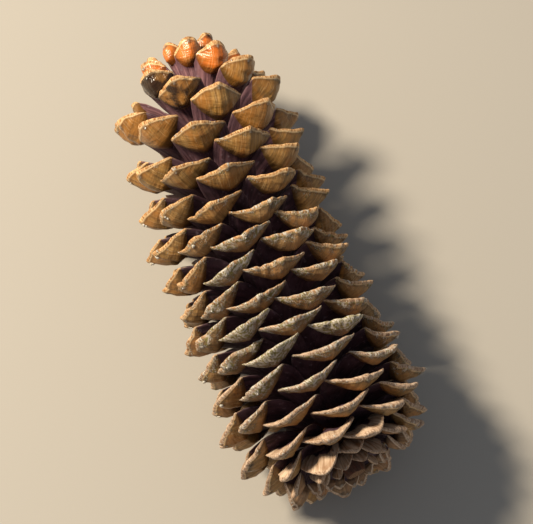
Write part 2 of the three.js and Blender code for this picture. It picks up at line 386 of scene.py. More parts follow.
def directions(number):
    """Where a scale points: its angle from straight up, and its lean from the axis at foot and tip."""
    extra_turn = math.radians(along(EXTRA_TURN, number))
    angle = FIRST_TURN + TURN * number + extra_turn + UNEVEN_ANGLE * math.sin(2.1 * number)
    near = math.exp(-(((number - FLANK_NUMBER) / FLANK_SPREAD) ** 2))
    facing = max(math.cos(angle - FLANK_ANGLE), 0) ** 2
    extra = FLANK_LEAN * near * facing + UNEVEN_ANGLE * math.sin(0.9 * number)
    extra += BASAL_LEAN * chance(number, 9) * float(smooth(36, 20, number))
    foot_lean, tip_lean = (math.radians(along(lean, number)) + extra for lean in (FOOT_LEAN, TIP_LEAN))
    return angle, foot_lean, tip_lean


def scale_faces():
    """The faces of one scale and the material number of each: 0 outer face, 1 inner faces, 2 rim."""
    ring = 2 * (ACROSS + RIM_STEPS)
    faces, slots = [], []
    for row in range(ROWS):
        here, above = row * ring, (row + 1) * ring
        for k in range(ring):
            after = (k + 1) % ring
            faces.append((here + k, here + after, above + after, above + k))
            on_outer = row >= INNER_ROWS
            if k < ACROSS - 1:
                slots.append(0 if on_outer else 1)
            elif ACROSS + RIM_STEPS <= k < 2 * ACROSS + RIM_STEPS - 1:
                slots.append(1)
            else:
                slots.append(2 if on_outer else 1)
    top = ROWS * ring
    free = (ROWS + 1) * ring

    def rim_point(column, step):
        if step == 0:
            return top + column
        if step == RIM_STEPS + 1:
            return top + 2 * ACROSS + RIM_STEPS - 1 - column
        if column == 0:
            return top + ring - step
        if column == ACROSS - 1:
            return top + ACROSS + step - 1
        return free + (column - 1) * RIM_STEPS + step - 1

    for column in range(ACROSS - 1):
        for step in range(RIM_STEPS + 1):
            corners = [(column, step), (column + 1, step), (column + 1, step + 1), (column, step + 1)]
            faces.append(tuple(rim_point(*corner) for corner in corners))
            slots.append(2)
    faces.append(tuple(reversed(range(ring))))
    slots.append(1)
    return faces, slots


FACES, FACE_SLOTS = scale_faces()
umbos = {}  # scale number: place of its umbo, and the directions out of the face and towards the margin


def blade_width(v):
    """Half-width of the blade as a share of its greatest, along the growth line v."""
    return FOOT_SHARE + (1 - FOOT_SHARE) * np.sin(np.pi / 2 * np.clip(v, 0, 1))


def ringed(under, upper):
    """The values of a scale's rings and rim from those of its two faces."""
    share = (np.arange(1, RIM_STEPS + 1) / (RIM_STEPS + 1))[None, :, None]
    right = under[:, -1:] + (upper[:, -1:] - under[:, -1:]) * share
    left = (under[:, :1] + (upper[:, :1] - under[:, :1]) * share)[:, ::-1]
    rings = np.concatenate([under, right, upper[:, ::-1], left], 1)
    rim = (under[-1][:, None] + (upper[-1] - under[-1])[:, None] * share)[1:-1]
    return rings, rim


def edge_noise(number, half, layer, feature):
    """Noise for each point across a scale, with features of a size in mm."""
    blank = SHARES * 0
    return noise_at(np.stack([SHARES * half, blank + number * SEED_STEP, blank + layer], 1), feature)


def margin_line(number, length, half, peak):
    """Where the margin lies, as a share of the length, for each point across."""
    arch = np.abs(SHARES - peak * (1 - SHARES**2)) ** along(MARGIN_POWER, number)
    slant = UNEVEN_MARGIN * chance(number, 2) * SHARES
    wobble = edge_noise(number, half, 0, WOBBLE_SIZE) * MARGIN_WOBBLE
    teeth = edge_noise(number, half, 9, TOOTH_SIZE)
    wobble += teeth * MARGIN_TEETH * smooth(150, 90, number)
    for k in range(NICKS):
        at = NICK_SPREAD * chance(number, 20 + k)
        wide = NICK_WIDTH + NICK_WIDTH_RANGE * chance(number, 23 + k)
        nick = np.exp(-(((SHARES - at) / wide) ** 2)) * NICK_DEPTH * max(chance(number, 26 + k), 0)
        wobble -= nick * smooth(150, 110, number)
    if number in TORN_SCALES:
        at, wide, deepest = TORN_SCALES[number]
        wobble -= deepest * smooth(wide, wide * 0.6, np.abs(SHARES - at)) * (1 + 0.5 * teeth)
    wobble *= min(1, length / FULL_LENGTH) / length
    return 1 - along(MARGIN_DROP, number) * arch + slant + wobble


def face_edge(number, half, margin):
    """Where the outer face starts, as a share of the way to the margin, for each point across. It is a curve
    from corner to corner through a lower corner, found in passes because the blade widens on the way."""
    start = along(FACE_START, number) + UNEVEN_FACE * chance(number, 4)
    aside = KEEL_SIDE + UNEVEN_SIDE * chance(number, 3)
    power = along(FACE_POWER, number)
    corner = FACE_END * np.where(SHARES < 0, margin[0], margin[-1])
    low = np.full(ACROSS, 0.7)
    for _ in range(EDGE_PASSES):
        x = SHARES * blade_width(low)
        edge = start + (corner - start) * np.abs(x - aside * (1 - x * x)) ** power
        low = np.clip(0.5 * low + 0.5 * edge / margin, 0.2, FACE_END)
    return np.minimum(low + EDGE_WAVER * edge_noise(number, half, 5, WAVER_SIZE), FACE_END)


def growth_lines(low):
    """Where the points of the outer and the upper face lie, from 0 at the foot to 1 at the margin."""
    under = np.empty((ROWS + 1, ACROSS))
    for row in range(ROWS + 1):
        if row < INNER_ROWS:
            under[row] = (low - STEP_SHARE) * row / (INNER_ROWS - 1)
        else:
            under[row] = low + (1 - low) * (row - INNER_ROWS) / OUTER_ROWS
    even = np.linspace(0, 1, ROWS + 1)[:, None] * np.ones(ACROSS)
    side = np.abs(SHARES) ** 6
    return under, even * (1 - side) + under * side


def unit(vectors):
    """Rows of vectors, each made 1 long."""
    return vectors / np.maximum(np.linalg.norm(vectors, axis=-1), 1e-6)[:, None]


def scale_points(number):
    """The vertices of one scale in the straight cone, in mm, and its fields for the materials."""
    angle, foot_lean, tip_lean = directions(number)
    length = along(SCALE_LENGTH, number) * (1 + UNEVEN_LENGTH * math.sin(1.3 * number))
    half = along(SCALE_WIDTH, number) / 2
    size = min(1, length / FULL_LENGTH)
    deep = along(KEEL_DEPTH, number) * 2 * half + 1
    rim = along(RIM_THICKNESS, number) * min(1, half / 8)
    seed = number * SEED_STEP
    peak = PEAK_SIDE + UNEVEN_SIDE * chance(number, 1)
    margin = margin_line(number, length, half, peak)
    low = face_edge(number, half, margin)
    under, upper = growth_lines(low)
    s_grid = np.broadcast_to(SHARES, under.shape)

    # The centre line, from the foot outwards.
    foot = along(FOOT_ALONG, number)
    t_line = np.linspace(0, 1, CENTRE_STEPS + 1)
    lean_line = foot_lean + (tip_lean - foot_lean) * smooth(0, CURVED_SHARE, t_line)
    step = length / CENTRE_STEPS
    x_line = foot + np.concatenate([[0], np.cumsum(np.cos(lean_line[:-1]) * step)])
    out_line = np.concatenate([[0], np.cumsum(np.sin(lean_line[:-1]) * step)])
    out_line += rachis_radius(foot) + FOOT_RISE

    def face_points(v, on_top):
        """Points of one face in the straight cone."""
        t = v * margin
        x = s_grid * half * blade_width(v)
        crown = 1 - np.abs(s_grid) ** along(KEEL_POWER, number)
        body = np.stack([x, t * length, x * 0 + seed], -1)
        fan = np.stack([s_grid * half, t * length, x * 0 + seed + 31 * on_top], -1)
        rise = along(EDGE_RISE, number) * 2 * half * np.abs(x / half) ** RISE_POWER
        roll = along(UNEVEN_ROLL, number) * chance(number, 7) * x
        middle = (rise + roll) * smooth(0, 0.4, t) + HOLLOW * deep * crown
        middle += WARP * size * noise_at(body, WARP_SIZE) * smooth(0.1, 0.6, t)
        rough = RIDGE * noise_at(fan, RIDGE_SIZES) + RIPPLE * noise_at(fan + (0, 0, 40), RIPPLE_SIZE)
        wrinkle = noise_at(fan + (0, 0, 80), WRINKLE_SIZES) * smooth(0.5, 0.75, t)
        rough += WRINKLE * smooth(140, 158, number) * wrinkle
        rough *= smooth(0.1, 0.4, t) * size
        if on_top:
            # Two shallow prints of the seeds and their wings, side by side.
            print_side = smooth(1.0, 0.6, np.abs(np.abs(s_grid) - PRINT_SIDE) / PRINT_WIDTH)
            print_length = smooth(0.12, 0.3, v) * smooth(0.88, 0.74, v)
            rib = np.exp(-((s_grid / BASAL_RIB_WIDTH) ** 2)) * smooth(0.2, 0.5, t)
            rib *= BASAL_RIB * half * smooth(44, 24, number)
            height = middle + rough - PRINT_DEPTH * size * print_side * print_length + rib
        else:
            outer = np.clip((v - low) / (1 - low), 0, 1)
            is_outer = v >= low - 1e-6
            covered = COVERED_SWELL + COVERED_RISE * smooth(0, 0.6, v)
            swell = np.where(is_outer, np.interp(outer, *np.array(SWELL).T), covered)
            edge = SIDE_EDGE + (rim - SIDE_EDGE) * smooth(0.5, 1, outer) * (1 - np.abs(s_grid) ** 5)
            depth = edge + deep * crown * swell + FACE_STEP * size * is_outer * (1 - np.abs(s_grid) ** 3)
            to_umbo = np.hypot(x - peak * half * UMBO_SIDE, (1 - v) * margin * length - UMBO_INSET)
            umbo = UMBO_HEIGHT * smooth(30, 60, number) * np.exp(-((to_umbo / UMBO_RADIUS) ** 2))
            height = middle - depth + rough - umbo
        over = np.maximum(t - 1, 0) * length
        t = np.clip(t, 0, 1)
        lean = np.interp(t, t_line, lean_line)
        x_along = np.interp(t, t_line, x_line) + np.sin(lean) * height + np.cos(lean) * over
        outwards = np.interp(t, t_line, out_line) - np.cos(lean) * height + np.sin(lean) * over
        sine, cosine = math.sin(angle), math.cos(angle)
        return np.stack([x_along, -sine * outwards - cosine * x, cosine * outwards - sine * x], -1)

    under_points, upper_points = face_points(under, False), face_points(upper, True)

    # The walls of the side edges and the rim are rounded outwards.
    rings, rim_points = ringed(under_points, upper_points)
    thickness = np.linalg.norm(upper_points - under_points, axis=-1)[..., None]
    bulge = np.sin(np.pi * np.arange(1, RIM_STEPS + 1) / (RIM_STEPS + 1))
    for column, inside, first in ((ACROSS - 1, ACROSS - 2, ACROSS), (0, 1, 2 * ACROSS + RIM_STEPS)):
        away = unit(under_points[:, column] - under_points[:, inside])
        for k in range(RIM_STEPS):
            rings[:, first + k] += away * thickness[:, column] * EDGE_BULGE * bulge[k]
    away = unit((under_points[-1] - under_points[-3]) + (upper_points[-1] - upper_points[-3]))
    rounded = away[:, None] * thickness[-1][:, None] * RIM_BULGE * bulge[None, :, None]
    points = np.concatenate([rings.reshape(-1, 3), (rim_points + rounded[1:-1]).reshape(-1, 3)])

    column = int(round((peak * UMBO_SIDE + 1) / 2 * (ACROSS - 1)))
    to_margin = under_points[-1, column] - under_points[-3, column]
    sideways = under_points[-2, column + 1] - under_points[-2, column - 1]
    out_of_face = np.cross(to_margin, sideways)
    umbos[number] = [under_points[-2, column], out_of_face / np.linalg.norm(out_of_face), to_margin]

    # Fields: the unrolled surface in mm, the distances from margin, face edge, foot and umbo, and the height
    # on the cone, weather, tone and resin of the scale.
    skyward = max(math.cos(angle), 0)
    weather = math.exp(-(((number - WEATHERED_NUMBER) / WEATHERED_SPREAD) ** 2)) * (0.25 + 0.75 * skyward)
    weather *= 0.75 + 0.35 * chance(number, 5)
    resin = RESIN_STAINS.get(number, 0.1 + 0.1 * chance(number, 8))
    blank = s_grid * 0
    sides = []
    for v, on_top in ((under, 0), (upper, 1)):
        lengthwise = v * margin * length
        from_margin = margin * length - lengthwise
        unrolled = 2 * margin * length + 1.5 * rim - lengthwise if on_top else lengthwise
        umbo_distance = np.hypot(s_grid * half - peak * half * UMBO_SIDE, from_margin - UMBO_INSET)
        sides.append({
            "grain": np.stack([s_grid * half, unrolled, blank + seed], -1),
            "where": np.stack([from_margin, (v - low) * margin * length, blank + on_top], -1),
            "growth": np.stack([blank + number / (SCALE_COUNT - 1), blank + weather, lengthwise], -1),
            "character": np.stack([umbo_distance, blank + chance(number, 6), blank + resin], -1),
        })
    fields = {}
    for field in sides[0]:
        both = ringed(sides[0][field], sides[1][field])
        fields[field] = np.concatenate([part.reshape(-1, 3) for part in both])
    return points, fields


def scale_group(name, numbers, materials):
    """One piece from several scales."""
    points, faces, slots, fields = [], [], [], {}
    offset = 0
    for number in numbers:
        these, values = scale_points(number)
        points.append(these)
        faces += [tuple(i + offset for i in face) for face in FACES]
        slots += FACE_SLOTS
        for field in values:
            fields.setdefault(field, []).append(values[field])
        offset += len(these)
    fields = {field: np.concatenate(parts) for field, parts in fields.items()}
    placed = AXIS_START + bowed(np.concatenate(points) * MM)
    low = np.minimum(placed[:, 2], REST_BLUNT)
    placed[:, 2] += REST_BLUNT * np.exp(low / REST_BLUNT - 1) - low
    return solid_piece(name, placed, faces, materials, slots, fields)


def outer_face_material(name, pale, ochre, dark, orange, satin, glossy, lined):
    """Woody tissue of a scale's outer face, dried by the sun: lines of growth 1.6 mm apart that fan out from
    the foot with finer ones between, painted shade along the lower edge and under the rim, a painted
    highlight along the margin, crust and lichen, and stains of resin.
    Its roughness goes from satin to glossy in blotches, and lined is how strong the lines are."""
    material, tree = new_material(name)
    grain, where, growth, character = [
        add(tree, "ShaderNodeAttribute", {}, "Vector", attribute_name=field)
        for field in ("grain", "where", "growth", "character")
    ]
    from_margin = add(tree, "ShaderNodeSeparateXYZ", {0: where}, 0)
    from_edge = add(tree, "ShaderNodeSeparateXYZ", {0: where}, 1)
    height_on_cone = add(tree, "ShaderNodeSeparateXYZ", {0: growth}, 0)
    weather = add(tree, "ShaderNodeSeparateXYZ", {0: growth}, 1)
    from_umbo = add(tree, "ShaderNodeSeparateXYZ", {0: character}, 0)
    tone = add(tree, "ShaderNodeSeparateXYZ", {0: character}, 1)
    resin = add(tree, "ShaderNodeSeparateXYZ", {0: character}, 2)
    # Each pattern: size across and along in mm, detail, and a shift that keeps it apart from the others.
    patterns = {
        "lines": (1.6, 26, 3, 0),
        "fine": (0.55, 9, 3, 5),
        "blotches": (7, 9, 3, 9),
        "crust": (0.55, 0.7, 5, 13),
        "colony": (7, 4, 3, 17),
        "kind": (1.8, 1.6, 4, 23),
        "wrinkles": (6, 1.4, 3, 31),
        "stain": (8, 8, 5, 41),
    }
    noises = {}
    for pattern, (wide, high, detail, shift) in patterns.items():
        space = add(
            tree, "ShaderNodeVectorMath", {0: grain, 1: (1 / wide, 1 / high, 1), 2: (0, 0, shift)},
            operation="MULTIPLY_ADD",
        )
        noises[pattern] = add(tree, "ShaderNodeTexNoise", {"Vector": space, "Scale": 1, "Detail": detail})

    # What the layers of colour follow, besides the patterns and the distances.
    blotches = noises["blotches"]
    sealed_and_sunlit_tip = add(tree, "ShaderNodeMapRange", {0: height_on_cone, 1: 0.72, 2: 0.9, 3: 0.0, 4: 0.6})
    warmth = add(tree, "ShaderNodeMath", {0: tone, 1: 0.1, 2: blotches}, operation="MULTIPLY_ADD")
    # Towards the tip the orange rises: partly the resin's own colour, partly painted warm sunlight.
    warmth = add(tree, "ShaderNodeMath", {0: sealed_and_sunlit_tip, 1: 0.2, 2: warmth}, operation="MULTIPLY_ADD")
    # Painted shade: darker in blotches towards the lower edge of the outer face.
    painted_edge_shade = add(tree, "ShaderNodeMath", {0: blotches, 1: 5.0, 2: from_edge}, operation="MULTIPLY_ADD")
    stain = add(tree, "ShaderNodeMath", {0: resin, 1: 0.36, 2: noises["stain"]}, operation="MULTIPLY_ADD")
    stain = add(tree, "ShaderNodeMapRange", {0: stain, 1: 0.66, 2: 0.84, 3: 0.0, 4: 0.94})

    # Grey-white crust and yellow-green lichen, thickest near the margin where the weather settled.
    near_margin = add(tree, "ShaderNodeMapRange", {0: from_margin, 1: 0.0, 2: 11.0, 3: 0.12, 4: -0.26})
    level = add(tree, "ShaderNodeMath", {0: weather, 1: 0.58, 2: noises["colony"]}, operation="MULTIPLY_ADD")
    for part in (noises["crust"], near_margin):
        level = add(tree, "ShaderNodeMath", {0: level, 1: part}, operation="ADD")
    crust = add(tree, "ShaderNodeMapRange", {0: level, 1: 1.27, 2: 1.44})
    crust_share = add(tree, "ShaderNodeMath", {0: crust, 1: 0.8}, operation="MULTIPLY")
    kind = add(tree, "ShaderNodeMapRange", {0: noises["kind"], 1: 0.46, 2: 0.56})
    crust_colour = add(
        tree, "ShaderNodeMix", {0: kind, 6: linear("#d0c8ba"), 7: linear("#8a8246")}, 2, data_type="RGBA"
    )

    # Each layer laid over the last: what it follows, where on that its share starts and ends to change, its
    # share at either end, and its colour.
    layers = [
        (warmth, 0.42, 0.66, 0.0, 0.85, orange),
        (weather, 0.0, 4 / 3, 0.0, 1.0, "#a98a69"),  # faded
        (noises["fine"], 0.54, 0.74, 0.0, 0.4, pale),  # fibres
        (painted_edge_shade, 1.6, 9.5, 0.85, 0.0, "#34200f"),  # painted shade along the lower edge of the face
        (from_margin, 0.9, 2.6, 0.5, 0.0, "#4a2e16"),  # painted shade under the rim
        (from_margin, 1.1, 0.4, 0.0, 0.85, pale),  # painted highlight along the rim's edge
        (from_umbo, 1.2, 2.4, 0.5, 0.0, "#3c2817"),  # a ring round the umbo
        (from_umbo, 0.5, 1.2, 0.6, 0.0, "#a39a8c"),  # the umbo's worn tip
    ]
    lines = add(tree, "ShaderNodeMapRange", {0: noises["lines"], 1: 0.36, 2: 0.64, 3: 1 - lined, 4: 1.0})
    colour = add(tree, "ShaderNodeMix", {0: lines, 6: linear(dark), 7: linear(ochre)}, 2, data_type="RGBA")
    for field, start, end, first, last, laid in layers:
        share = add(tree, "ShaderNodeMapRange", {0: field, 1: start, 2: end, 3: first, 4: last})
        colour = add(tree, "ShaderNodeMix", {0: share, 6: colour, 7: linear(laid)}, 2, data_type="RGBA")
    colour = add(tree, "ShaderNodeMix", {0: crust_share, 6: colour, 7: crust_colour}, 2, data_type="RGBA")
    # Runs of old resin are near black where they are thick.
    colour = add(tree, "ShaderNodeMix", {0: stain, 6: colour, 7: linear("#1c0d05")}, 2, data_type="RGBA")

    # Relief: the height of each pattern against the blotches.
    pits = add(tree, "ShaderNodeMath", {0: noises["crust"], 1: weather}, operation="MULTIPLY")
    height = blotches
    relief = ((noises["fine"], 0.3), (noises["lines"], 0.3), (noises["wrinkles"], 0.5))
    for pattern, share in relief + ((crust, 0.8), (pits, 0.9)):
        height = add(tree, "ShaderNodeMath", {0: pattern, 1: share, 2: height}, operation="MULTIPLY_ADD")
    bump = add(tree, "ShaderNodeBump", {"Height": height, "Distance": 0.9 * MM, "Strength": 0.9})
    roughness = add(tree, "ShaderNodeMapRange", {0: blotches, 1: 0.35, 2: 0.7, 3: satin, 4: glossy})
    for share, rough in ((sealed_and_sunlit_tip, 0.2), (crust, 0.92), (stain, 0.16)):
        roughness = add(tree, "ShaderNodeMix", {0: share, 2: roughness, 3: rough}, 0, data_type="FLOAT")
    shader = add(
        tree, "ShaderNodeBsdfPrincipled",
        {"Base Color": colour, "Roughness": roughness, "IOR": 1.5, "Normal": bump},
    )
    add(tree, "ShaderNodeOutputMaterial", {0: shader})
    return material


# Weathered pinkish tan, dull, with bright fibres that fan out.
basal_face = outer_face_material(
    "weathered_basal_scale_face", "#dcc3a8", "#ab8760", "#6d4e34", "#a77344", 0.8, 0.5, 0.6
)

# The faces that the scales below and above covered: thin-skinned dark purple-brown wood, matt, with paler
# streaks 1.3 mm apart, painted light as a lighter mauve towards the tip, orange-red at the foot, and tan with
# bright fibres along the upper face's margin.
covered_face, tree = new_material("dark_covered_scale_wood")
grain, where, growth = [
    add(tree, "ShaderNodeAttribute", {}, "Vector", attribute_name=field)
    for field in ("grain", "where", "growth")
]
from_margin = add(tree, "ShaderNodeSeparateXYZ", {0: where}, 0)
on_top = add(tree, "ShaderNodeSeparateXYZ", {0: where}, 2)
height_on_cone = add(tree, "ShaderNodeSeparateXYZ", {0: growth}, 0)
from_foot = add(tree, "ShaderNodeSeparateXYZ", {0: growth}, 2)
streak_space = add(tree, "ShaderNodeVectorMath", {0: grain, 1: (1 / 1.3, 1 / 22, 1)}, operation="MULTIPLY")
streaks = add(tree, "ShaderNodeTexNoise", {"Vector": streak_space, "Scale": 1, "Detail": 4})
cloud_space = add(tree, "ShaderNodeVectorMath", {0: grain, 1: (1 / 8, 1 / 11, 1)}, operation="MULTIPLY")
clouds = add(tree, "ShaderNodeTexNoise", {"Vector": cloud_space, "Scale": 1, "Detail": 3})
flake_space = add(tree, "ShaderNodeVectorMath", {0: grain, 1: (1 / 2, 1 / 3, 1.3)}, operation="MULTIPLY")
flakes = add(tree, "ShaderNodeTexNoise", {"Vector": flake_space, "Scale": 1, "Detail": 5})
streak_share = add(tree, "ShaderNodeMapRange", {0: streaks, 1: 0.36, 2: 0.66})
dark_low, painted_light_tip_mauve = [
    add(tree, "ShaderNodeMix", {0: streak_share, 6: linear(deep), 7: linear(streaked)}, 2, data_type="RGBA")
    for deep, streaked in (("#24131a", "#452a33"), ("#55333b", "#93686c"))
]
# Painted light: towards the tip the dark wood turns a lighter mauve with pinkish streaks.
painted_light_tip_share = add(tree, "ShaderNodeMapRange", {0: height_on_cone, 1: 0.7, 2: 0.95})
colour = add(tree, "ShaderNodeMix", {0: painted_light_tip_share, 6: dark_low, 7: painted_light_tip_mauve}, 2, data_type="RGBA")
cloudy = add(tree, "ShaderNodeMapRange", {0: clouds, 1: 0.44, 2: 0.7, 3: 0.0, 4: 0.6})
flaked = add(tree, "ShaderNodeMapRange", {0: flakes, 1: 0.6, 2: 0.72, 3: 0.0, 4: 0.45})
fertile = add(tree, "ShaderNodeMapRange", {0: height_on_cone, 1: 0.1, 2: 0.25})
reddened = add(tree, "ShaderNodeMapRange", {0: from_foot, 1: 12.0, 2: 2.0, 3: 0.0, 4: 0.75})
reddened = add(tree, "ShaderNodeMath", {0: reddened, 1: fertile}, operation="MULTIPLY")
for share, laid in ((cloudy, "#624a54"), (flaked, "#94828c"), (reddened, "#86421f")):
    colour = add(tree, "ShaderNodeMix", {0: share, 6: colour, 7: linear(laid)}, 2, data_type="RGBA")
mottle = add(tree, "ShaderNodeMath", {0: clouds, 1: 0.7, 2: streaks}, operation="MULTIPLY_ADD")
mottle = add(tree, "ShaderNodeMapRange", {0: mottle, 1: 0.62, 2: 1.08})
tan = add(
    tree, "ShaderNodeMix", {0: mottle, 6: linear("#875f3c"), 7: linear("#d6bda2")}, 2, data_type="RGBA"
)
reach = add(tree, "ShaderNodeMapRange", {0: height_on_cone, 1: 0.12, 2: 0.28, 3: 15.0, 4: 4.0})
reach = add(tree, "ShaderNodeMath", {0: clouds, 1: 7.0, 2: reach}, operation="MULTIPLY_ADD")
beyond = add(tree, "ShaderNodeMath", {0: reach, 1: from_margin}, operation="SUBTRACT")
band = add(tree, "ShaderNodeMapRange", {0: beyond, 1: 2.8, 2: 4.4})
band = add(tree, "ShaderNodeMath", {0: band, 1: on_top}, operation="MULTIPLY")
colour = add(tree, "ShaderNodeMix", {0: band, 6: colour, 7: tan}, 2, data_type="RGBA")
relief = add(tree, "ShaderNodeMath", {0: flakes, 1: 0.5, 2: streaks}, operation="MULTIPLY_ADD")
bump = add(tree, "ShaderNodeBump", {"Height": relief, "Distance": 0.5 * MM, "Strength": 0.7})
roughness = add(tree, "ShaderNodeMapRange", {0: clouds, 1: 0.35, 2: 0.7, 3: 0.75, 4: 0.55})
shader = add(
    tree, "ShaderNodeBsdfPrincipled",
    {"Base Color": colour, "Roughness": roughness, "IOR": 1.45, "Normal": bump},
)
add(tree, "ShaderNodeOutputMaterial", {0: shader})

# The margin's corky edge, worn pale with grit 0.9 mm across, greyer, with crust in its pits, near the base.
corky_margin, tree = new_material("worn_corky_margin")
grain = add(tree, "ShaderNodeAttribute", {}, "Vector", attribute_name="grain")
growth = add(tree, "ShaderNodeAttribute", {}, "Vector", attribute_name="growth")
height_on_cone = add(tree, "ShaderNodeSeparateXYZ", {0: growth}, 0)
weather = add(tree, "ShaderNodeSeparateXYZ", {0: growth}, 1)
grit_space = add(tree, "ShaderNodeVectorMath", {0: grain, 1: (1 / 0.9, 1 / 0.8, 1)}, operation="MULTIPLY")
grit = add(tree, "ShaderNodeTexNoise", {"Vector": grit_space, "Scale": 1, "Detail": 4})
patch_space = add(tree, "ShaderNodeVectorMath", {0: grain, 1: (1 / 4, 1 / 4, 1)}, operation="MULTIPLY")
patches = add(tree, "ShaderNodeTexNoise", {"Vector": patch_space, "Scale": 1, "Detail": 3})
grit_share = add(tree, "ShaderNodeMapRange", {0: grit, 1: 0.35, 2: 0.65})
fresh, worn = [
    add(tree, "ShaderNodeMix", {0: grit_share, 6: linear(pit), 7: linear(ridge)}, 2, data_type="RGBA")
    for pit, ridge in (("#9a6633", "#e8bf8a"), ("#8c6f57", "#d2b79c"))
]
old = add(tree, "ShaderNodeMapRange", {0: height_on_cone, 1: 0.65, 2: 0.35})
colour = add(tree, "ShaderNodeMix", {0: old, 6: fresh, 7: worn}, 2, data_type="RGBA")
blotch = add(tree, "ShaderNodeMapRange", {0: patches, 1: 0.5, 2: 0.68, 3: 0.0, 4: 0.6})
colour = add(tree, "ShaderNodeMix", {0: blotch, 6: colour, 7: linear("#6f4623")}, 2, data_type="RGBA")
kind = add(tree, "ShaderNodeMapRange", {0: grit, 1: 0.56, 2: 0.46})
crust_colour = add(
    tree, "ShaderNodeMix", {0: kind, 6: linear("#c9c0b2"), 7: linear("#8a8055")}, 2, data_type="RGBA"
)
level = add(tree, "ShaderNodeMath", {0: weather, 1: 0.5, 2: patches}, operation="MULTIPLY_ADD")
level = add(tree, "ShaderNodeMath", {0: level, 1: grit}, operation="ADD")
crust = add(tree, "ShaderNodeMapRange", {0: level, 1: 1.2, 2: 1.34})
colour = add(tree, "ShaderNodeMix", {0: crust, 6: colour, 7: crust_colour}, 2, data_type="RGBA")
relief = add(tree, "ShaderNodeMath", {0: crust, 1: 0.7, 2: grit}, operation="MULTIPLY_ADD")
bump = add(tree, "ShaderNodeBump", {"Height": relief, "Distance": 0.5 * MM, "Strength": 0.8})
roughness = add(tree, "ShaderNodeMapRange", {0: grit, 1: 0.3, 2: 0.7, 3: 0.95, 4: 0.7})
shader = add(
    tree, "ShaderNodeBsdfPrincipled",
    {"Base Color": colour, "Roughness": roughness, "IOR": 1.45, "Normal": bump},
)
add(tree, "ShaderNodeOutputMaterial", {0: shader})

basal = scale_group("basal_scale_cluster", range(BASAL_COUNT), [basal_face, covered_face, corky_margin])
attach(basal, "root")
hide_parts("basal_scales")

# ---- Scales of the middle --------------------------------------------
# The long fertile scales, which open in dry air. Each curves outwards from a narrow foot to a broad keeled
# outer face, and they follow five steep spirals; three neighbours of a spiral make one piece.

SPIRALS = 5
GROUP = 3
TIP_START = 162

# Resin-sealed ochre tissue: satin, with fine lines that fan out and an orange cast in blotches.
ochre_face = outer_face_material(
    "resin_sealed_scale_face", "#e2c08e", "#a97f42", "#705020", "#a06a2c", 0.58, 0.36, 0.9
)

for spiral in range(SPIRALS):
    numbers = range(BASAL_COUNT + spiral, TIP_START, SPIRALS)
    for first in range(0, len(numbers), GROUP):
        group = first // GROUP + 1
        piece = scale_group(
            f"open_scales_{spiral + 1}_{group}",
            numbers[first : first + GROUP],
            [ochre_face, covered_face, corky_margin],
        )
        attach(piece, "root")
        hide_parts(f"scales_spiral_{spiral + 1}_group_{group}")

# ---- Tip scales ------------------------------------------------------
# The last, fat, crowded scales round the growing tip, less open and better sealed by resin than the others.

# Orange, resin-rich tissue with a clear gloss; its warm orange is partly painted warm sunlight.
orange_face = outer_face_material(
    "glossy_tip_scale_face", "#f0c18a", "#cc8238", "#a8632a", "#d26c20", 0.42, 0.18, 0.5
)

tip_numbers = range(TIP_START, SCALE_COUNT)
tip = scale_group("tip_scale_cluster", tip_numbers, [orange_face, covered_face, corky_margin])
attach(tip, "root")
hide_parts("tip_scales")

# ---- Resin -----------------------------------------------------------
# Beads of dried resin that ran from the umbos while the cone hung, now cloudy and hard.

BEAD_ROWS = 8
BEAD_SIDES = 14
BEAD_RADIUS = 1.05  # mm
BEAD_FLATNESS = 0.8  # height as a share of the width
BEAD_STRETCH = 1.5  # downhill
BEAD_SINK = 0.3  # mm that its middle stands out from the umbo
BEADED_FLANK = math.radians(-72)  # angle of the flank where the resin gathered
BEADED_WIDTH = math.radians(46)
BEADED_SCALES = range(51, 160)
STRAY_BEAD_START = 60  # above this scale number a few other scales have a bead too
DOWNHILL = np.array((0, 0, -1.0))

# Cloudy, off-white and brittle, with a wet gloss. Its clouds are about 1 mm across.
dried_resin, tree = new_material("cloudy_dried_resin")
position = add(tree, "ShaderNodeTexCoord", {}, "Object")
cloud = add(tree, "ShaderNodeTexNoise", {"Vector": position, "Scale": 900, "Detail": 3})
colour = add(
    tree, "ShaderNodeMix", {0: cloud, 6: linear("#8f7f66"), 7: linear("#e9e6dc")}, 2, data_type="RGBA"
)
bump = add(tree, "ShaderNodeBump", {"Height": cloud, "Distance": 0.2 * MM, "Strength": 0.5})
shader = add(
    tree, "ShaderNodeBsdfPrincipled",
    {
        "Base Color": colour, "Roughness": 0.18, "IOR": 1.54, "Subsurface Weight": 0.3,
        "Subsurface Radius": (0.6 * MM, 0.5 * MM, 0.35 * MM), "Subsurface Scale": 1.0, "Normal": bump,
    },
)
add(tree, "ShaderNodeOutputMaterial", {0: shader})


def bead_points(centre, out, down, radius, seed):
    """One flattened drop, drawn out in the direction it ran, in mm."""
    out = out / np.linalg.norm(out)
    down = down - out * (down @ out)
    down = down / np.linalg.norm(down)
    side = np.cross(out, down)
    points = [centre + out * radius * BEAD_FLATNESS]
    for row in range(1, BEAD_ROWS):
        polar = math.pi * row / BEAD_ROWS
        for k in range(BEAD_SIDES):
            a = 2 * math.pi * k / BEAD_SIDES
            local = np.array([math.sin(polar) * math.cos(a), math.sin(polar) * math.sin(a), math.cos(polar)])
            swell = 1 + 0.3 * noise.noise(Vector(local * 1.3) + Vector((seed, 0, 0)))
            stretch = BEAD_STRETCH if local[0] > 0 else 1.0
            x, y, z = local * radius * swell
            points.append(centre + down * x * stretch + side * y + out * z * BEAD_FLATNESS)
    points.append(centre - out * radius * BEAD_FLATNESS)
    return points


